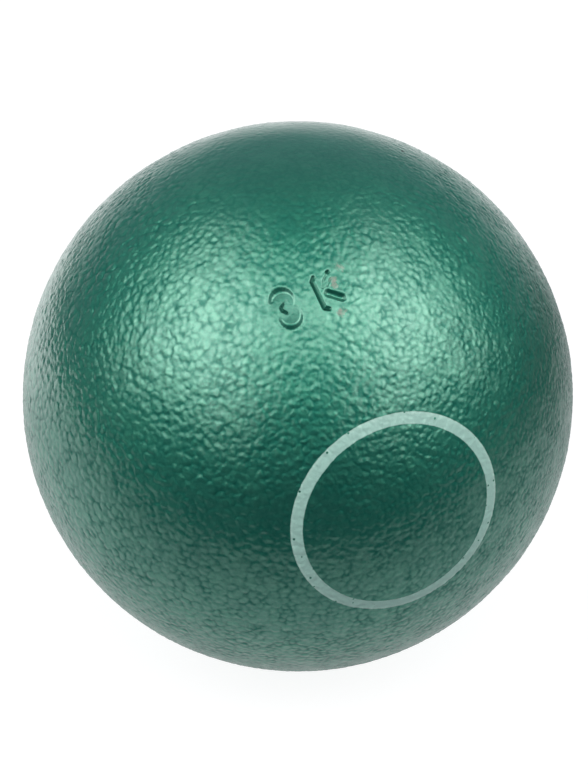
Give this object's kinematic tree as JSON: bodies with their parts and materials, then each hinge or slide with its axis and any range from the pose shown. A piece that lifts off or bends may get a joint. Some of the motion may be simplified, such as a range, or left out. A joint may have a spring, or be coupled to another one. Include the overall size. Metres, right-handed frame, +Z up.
{
  "type": "shot put",
  "caption": "Painted cast-iron putting shot of the 3 kg class, with a lead-filled trim bore closed at the back by a slotted brass screw plug turned to the ball's radius.",
  "frame": {"origin": "centre of the ball", "axes": "+Z up as the shot lies in the picture, +Y along the axis of the trim bore towards its mouth, which is at the back, and -Y towards the side that the camera looks at"},
  "size_m": [0.093, 0.0928, 0.093],
  "materials": {
    "hammered_enamel": "gloss",
    "lead": "matte",
    "brass_plug": "satin"
  },
  "bodies": {
    "root": {"ball_casting": "hammered_enamel", "lead_slug": "lead", "trim_disc_1": "lead", "trim_disc_2": "lead", "trim_disc_3": "lead", "trim_plug": "brass_plug"}
  },
  "joints": []
}
